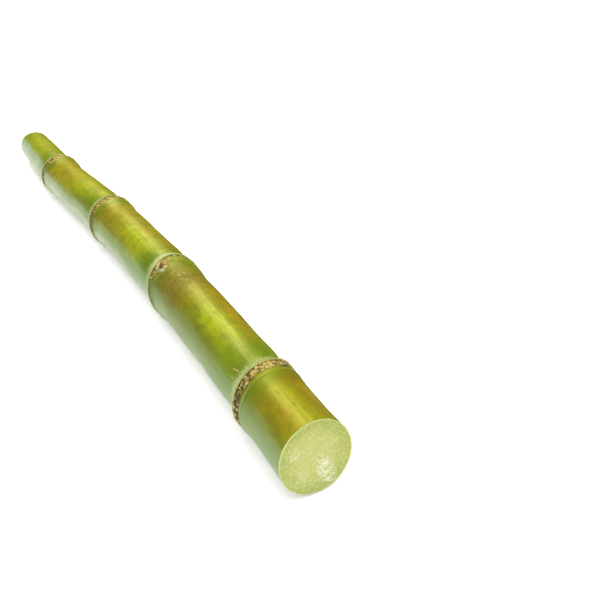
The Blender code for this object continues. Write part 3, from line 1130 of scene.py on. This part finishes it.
def build_root_dots(context):
    """Two rows of corky dots in each root band: domes with a dimple, on a polar grid of a few rows."""
    sizes = context.scene.cane_sizes
    stalk = Stalk(sizes)
    material = root_dot_material(context.scene.cane_colours)
    profile = np.array(((0, 0.62), (0.3, 0.75), (0.6, 1.0), (0.85, 0.75), (1.0, 0.0), (0.8, -0.5), (0, -0.5)))
    around = np.linspace(0, TURN, 8, endpoint=False)
    for node, scar in enumerate(stalk.scars):
        rng = np.random.default_rng(Seed.dots + node)
        per_row = 30
        row = np.repeat((0.36, 0.74), per_row)
        step = np.tile(np.arange(per_row), 2) + np.repeat((0.0, 0.5), per_row)
        angle = TURN * (step + rng.uniform(-0.38, 0.38, 2 * per_row)) / per_row
        wide = 1 + sizes.bud_stretch * stalk.near_bud(node, angle, sizes.bud_width)
        past = sizes.band_length * wide * (row + rng.uniform(-0.12, 0.12, 2 * per_row))
        keep = rng.random(2 * per_row) < NODE_LOOKS[node][DOTS_SHOWN]
        keep &= stalk.near_bud(node, angle, 0.8 * sizes.bud_width) < 0.25
        angle, past = angle[keep], past[keep]
        size = MM * rng.uniform(0.38, 0.85, len(angle))
        reach = profile[None, :, None, 0] * size[:, None, None]
        at = scar + past[:, None, None] + reach * np.cos(around)
        turn = angle[:, None, None] + reach * np.sin(around) / stalk.radius(scar)
        lift = profile[None, :, None, 1] * size[:, None, None] * 0.6 + 0 * at
        places = stalk.skin(at, turn, lift)
        points, fours, threes = many_shells(places[:, ::-1])
        piece = make_piece(f"root_dots_{node + 1}", points, (fours, threes), (material,))
        tint = np.array((0.6, 0.95, 1.0, 0.85, 0.35, 0.0, 0.0))[::-1]
        own = rng.uniform(0.6, 1.2, len(angle))
        inner = np.repeat(tint[1:-1], len(around))[None, :] * own[:, None]
        ends = np.stack((0 * own, 0.5 * own), axis=-1)
        give_numbers(piece.data, "tint", np.concatenate((inner, ends), axis=1))


def build_fibres(context):
    """Torn sheath fibres at each scar: slim tapered blades that lie along the band and curl off it.

    A blade's centre line leaves its foot at its own heading, and its lift grows with the square of
    the way along it; its section is a flat diamond that tapers to both ends. Two long splinters
    stand on the wax of the last node.
    """
    sizes = context.scene.cane_sizes
    stalk = Stalk(sizes)
    material = sheath_material(context.scene.cane_colours)
    way = np.linspace(0, 1, 6)
    corners = np.array(((1, 0), (0, 1), (-1, 0), (0, -1)), float)
    for node, scar in enumerate(stalk.scars):
        rng = np.random.default_rng(Seed.fibres + node)
        count = 80
        angle = rng.uniform(0, TURN, count)
        past = MM * rng.uniform(0.1, 4.2, count)
        heading = rng.normal(0, 0.55, count) + np.where(rng.random(count) < 0.5, 0, math.pi)
        heading = np.where(rng.random(count) < 0.35, rng.uniform(-1.2, 1.2, count) - math.pi / 2, heading)
        run = MM * rng.uniform(0.8, 3.6, count)
        width = MM * rng.uniform(0.05, 0.16, count)
        curl = MM * rng.uniform(0.0, 0.55, count)
        own = np.clip(rng.normal(0.55, 0.28, count), 0, 1)
        if node == len(stalk.scars) - 1:
            angle[:2] = np.radians((127, 143))
            past[:2] = -6 * MM
            heading[:2] = -math.pi / 2 + np.array((0.25, -0.2))
            run[:2] = MM * np.array((5.0, 3.5))
            width[:2] = MM * np.array((0.38, 0.2))
            curl[:2] = 1.2 * MM
            own[:2] = 1.0
        s = way[None, :, None]
        sideways = run[:, None, None] * s * np.cos(heading)[:, None, None]
        along = run[:, None, None] * s * np.sin(heading)[:, None, None]
        taper = np.sqrt(np.clip(np.sin(math.pi * np.clip(s, 0.02, 0.98)), 0, 1)) * width[:, None, None]
        across, thick = corners[None, None, :, 0] * taper, corners[None, None, :, 1] * taper * 0.45
        at = scar + past[:, None, None] + along - across * np.cos(heading)[:, None, None]
        round_it = sideways + across * np.sin(heading)[:, None, None]
        turn = angle[:, None, None] + round_it / stalk.radius(scar)
        lift = 0.08 * MM + curl[:, None, None] * s**2 + thick
        places = stalk.skin(at, turn, lift + 0 * at)
        points, fours, threes = many_shells(places)
        piece = make_piece(f"sheath_fibres_{node + 1}", points, (fours, threes), (material,))
        give_numbers(piece.data, "tint", np.repeat(own, len(points) // count))
        give_numbers(piece.data, "waxy", np.repeat(0.35 * (own == 1.0), len(points) // count))


def build_buds(context):
    """A bud on one side of each root band: a pointed oval dome with ridges towards its tip and a torn
    hollow, on a polar grid."""
    sizes = context.scene.cane_sizes
    stalk = Stalk(sizes)
    material = sheath_material(context.scene.cane_colours)
    share = np.linspace(0, 1, 26)[:, None]
    around = np.linspace(0, TURN, 96, endpoint=False)
    for node, scar in enumerate(stalk.scars):
        uneven = waves(0 * around, around, Seed.bud_outline + node, 10, 9, 1.0)
        outline = 1 - 0.16 * np.abs(np.sin(around)) ** 3 + 0.03 * uneven
        along = sizes.bud_length / 2 * share * outline * np.cos(around)
        across = sizes.bud_width / 2 * share * outline * np.sin(around)
        towards_tip = np.arctan2(across, along + 9 * MM) * 9
        ridges = 0.10 * waves(along, towards_tip, Seed.bud_ridges + node, 24, 6, 3 * MM)
        dome = sizes.bud_rise * (1 - share**2) ** 0.6 * (1 + ridges)
        torn = hump(np.hypot(along - 0.6 * MM, (across - 0.7 * MM) / 1.4), 2.6 * MM)
        lift = dome - 1.0 * MM * torn * (1 - share**6)
        at = scar + 0.3 * MM + sizes.bud_length / 2 + along
        turn = stalk.buds[node] + across / stalk.radius(scar)
        front = stalk.skin(at, turn, lift)
        back = stalk.skin(at[::-12][:3], turn[::-12][:3], -0.5 * MM + 0 * at[:3])
        back[-1] = back[-1].mean(axis=0)
        places = np.concatenate((front, back))[::-1]
        points, fours, threes = closed_shell(places)
        piece = make_piece(f"bud_{node + 1}", points, (fours, threes), (material,))
        mottle = waves(along, across * 400, Seed.bud_tint + node, 20, 3, 2 * MM)
        tint = np.clip(0.75 - 1.1 * torn + 0.25 * mottle, 0, 1)
        tint = np.concatenate((tint, 0 * tint[:3]))[::-1][1:-1]
        give_numbers(piece.data, "tint", np.concatenate((tint.ravel(), (0.0, 0.5))))
        one_side = rise(across + 0.3 * along, 0.2 * MM, 2.2 * MM)
        waxy = 0.75 * (node > 0) * one_side * rise(share, 0.3, 0.7) * (1 - torn)
        waxy = np.concatenate((waxy, 0 * waxy[:3]))[::-1][1:-1]
        give_numbers(piece.data, "waxy", np.concatenate((waxy.ravel(), (0.0, 0.0))))


def build_studio(context):
    """A plain pale floor, even light, three softboxes and the camera."""
    studio = context.scene.cane_studio
    sizes = context.scene.cane_sizes
    stalk = Stalk(sizes)
    scene = context.scene

    half = studio.floor_size / 2
    corners = np.array(((-half, -half, 0), (half, -half, 0), (half, half, 0), (-half, half, 0)))
    mesh = bpy.data.meshes.new("floor")
    mesh.from_pydata((corners - (0, 0, 0.05 * MM)).tolist(), [], [(0, 1, 2, 3)])
    mesh.materials.append(floor_material(studio))
    floor = bpy.data.objects.new("floor", mesh)
    scene.collection.objects.link(floor)
    floor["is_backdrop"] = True

    world = bpy.data.worlds.new("even_light")
    world.use_nodes = True
    nodes = Nodes(world.node_tree)
    direction = nodes.add("ShaderNodeTexCoord").outputs["Generated"]
    height = nodes.add("ShaderNodeSeparateXYZ", {0: direction}).outputs[2]
    strength = nodes.between(height, 0.5, 1.0, studio.horizon, studio.zenith)
    path = nodes.add("ShaderNodeLightPath").outputs
    strength = nodes.times(strength, nodes.between(path["Is Glossy Ray"], 0, 1, 1.0, studio.sky_reflected))
    strength = nodes.larger(strength, nodes.times(path["Is Camera Ray"], studio.backdrop))
    background = world.node_tree.nodes["Background"]
    background.inputs[0].default_value = (1, 1, 1, 1)
    world.node_tree.links.new(strength, background.inputs[1])
    scene.world = world

    middle = np.array(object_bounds()).mean(axis=0)
    key = add_softbox("key_softbox", studio.key_power, 0.35, (1.0, 0.95, 0.6))
    fill = add_softbox("fill_softbox", studio.fill_power, 1.2, (1.0, 1.0, 1.0))
    side = add_softbox("side_softbox", studio.side_power, 1.2, (1.0, 0.97, 0.9))
    aim(key, middle, (-0.66, 0.20, 0.72), 1.3)
    aim(fill, middle, (0.55, -0.65, 0.55), 1.5)
    aim(side, middle, (0.35, 0.75, 0.55), 1.5)
    fill.visible_glossy = False
    side.visible_glossy = False

    tip = stalk.section(np.array(stalk.length), np.array(0.0), np.array(0.0))
    camera_data = bpy.data.cameras.new("camera")
    camera_data.lens = studio.lens
    camera_data.sensor_width = 36
    camera = bpy.data.objects.new("camera", camera_data)
    scene.collection.objects.link(camera)
    camera.location = (tip[0] + studio.camera_beyond, tip[1] - studio.camera_aside, studio.camera_height)
    camera.rotation_euler = (math.pi / 2 - studio.camera_pitch, 0, studio.camera_turn)
    scene.camera = camera
    scene.view_settings.view_transform = "Standard"


def add_softbox(name, power, side, tone):
    """Adds a square light and returns it."""
    data = bpy.data.lights.new(name, "AREA")
    data.shape = "RECTANGLE"
    data.size, data.size_y = side, side
    data.energy = power
    data.color = tone
    light = bpy.data.objects.new(name, data)
    bpy.context.scene.collection.objects.link(light)
    return light


def aim(light, middle, direction, distance):
    """Stands a light at a distance from the middle of the stalk, in a direction, and faces it there."""
    towards = Vector(direction).normalized()
    light.location = Vector(middle) + towards * distance
    light.rotation_euler = towards.to_track_quat("Z", "Y").to_euler()


class CANE_OT_skin(Operator):
    """Build the stalk's skin with its nodes and cut edges"""

    bl_idname = "cane.skin"
    bl_label = "Skin"

    def execute(self, context):
        build_skin(context)
        return {"FINISHED"}


class CANE_OT_pith(Operator):
    """Build the pith that shows at both cuts"""

    bl_idname = "cane.pith"
    bl_label = "Pith"

    def execute(self, context):
        build_pith(context)
        return {"FINISHED"}


class CANE_OT_leaf_scars(Operator):
    """Build the torn foot of the leaf sheath at each node"""

    bl_idname = "cane.leaf_scars"
    bl_label = "Leaf Scars"

    def execute(self, context):
        build_collars(context)
        return {"FINISHED"}


class CANE_OT_root_dots(Operator):
    """Build the rows of root dots at each node"""

    bl_idname = "cane.root_dots"
    bl_label = "Root Dots"

    def execute(self, context):
        build_root_dots(context)
        return {"FINISHED"}


class CANE_OT_fibres(Operator):
    """Build the torn sheath fibres at each node"""

    bl_idname = "cane.fibres"
    bl_label = "Sheath Fibres"

    def execute(self, context):
        build_fibres(context)
        return {"FINISHED"}


class CANE_OT_buds(Operator):
    """Build the bud of each node"""

    bl_idname = "cane.buds"
    bl_label = "Buds"

    def execute(self, context):
        build_buds(context)
        return {"FINISHED"}


class CANE_OT_studio(Operator):
    """Build the floor, the lights and the camera"""

    bl_idname = "cane.studio"
    bl_label = "Studio"

    def execute(self, context):
        build_studio(context)
        return {"FINISHED"}


class CANE_PT_panel(Panel):
    """Buttons for every piece of the stalk"""

    bl_idname = "CANE_PT_panel"
    bl_label = "Sugar Cane"
    bl_space_type = "VIEW_3D"
    bl_region_type = "UI"
    bl_category = "Cane"

    def draw(self, context):
        for operator in OPERATORS:
            self.layout.operator(operator.bl_idname)
        self.layout.prop(context.scene.cane_sizes, "lip_rise")
        self.layout.prop(context.scene.cane_colours, "olive")


OPERATORS = (
    CANE_OT_skin,
    CANE_OT_pith,
    CANE_OT_leaf_scars,
    CANE_OT_root_dots,
    CANE_OT_fibres,
    CANE_OT_buds,
    CANE_OT_studio,
)
GROUPS = (CaneSizes, CaneColours, CaneStudio)
CLASSES = (*GROUPS, *OPERATORS, CANE_PT_panel)


def register():
    for cls in CLASSES:
        bpy.utils.register_class(cls)
    bpy.types.Scene.cane_sizes = PointerProperty(type=CaneSizes)
    bpy.types.Scene.cane_colours = PointerProperty(type=CaneColours)
    bpy.types.Scene.cane_studio = PointerProperty(type=CaneStudio)


def unregister():
    del bpy.types.Scene.cane_studio
    del bpy.types.Scene.cane_colours
    del bpy.types.Scene.cane_sizes
    for cls in reversed(CLASSES):
        bpy.utils.unregister_class(cls)


def main():
    register()
    bpy.ops.cane.skin()
    bpy.ops.cane.pith()
    bpy.ops.cane.leaf_scars()
    bpy.ops.cane.root_dots()
    bpy.ops.cane.fibres()
    bpy.ops.cane.buds()
    bpy.ops.cane.studio()


if __name__ == "__main__":
    main()
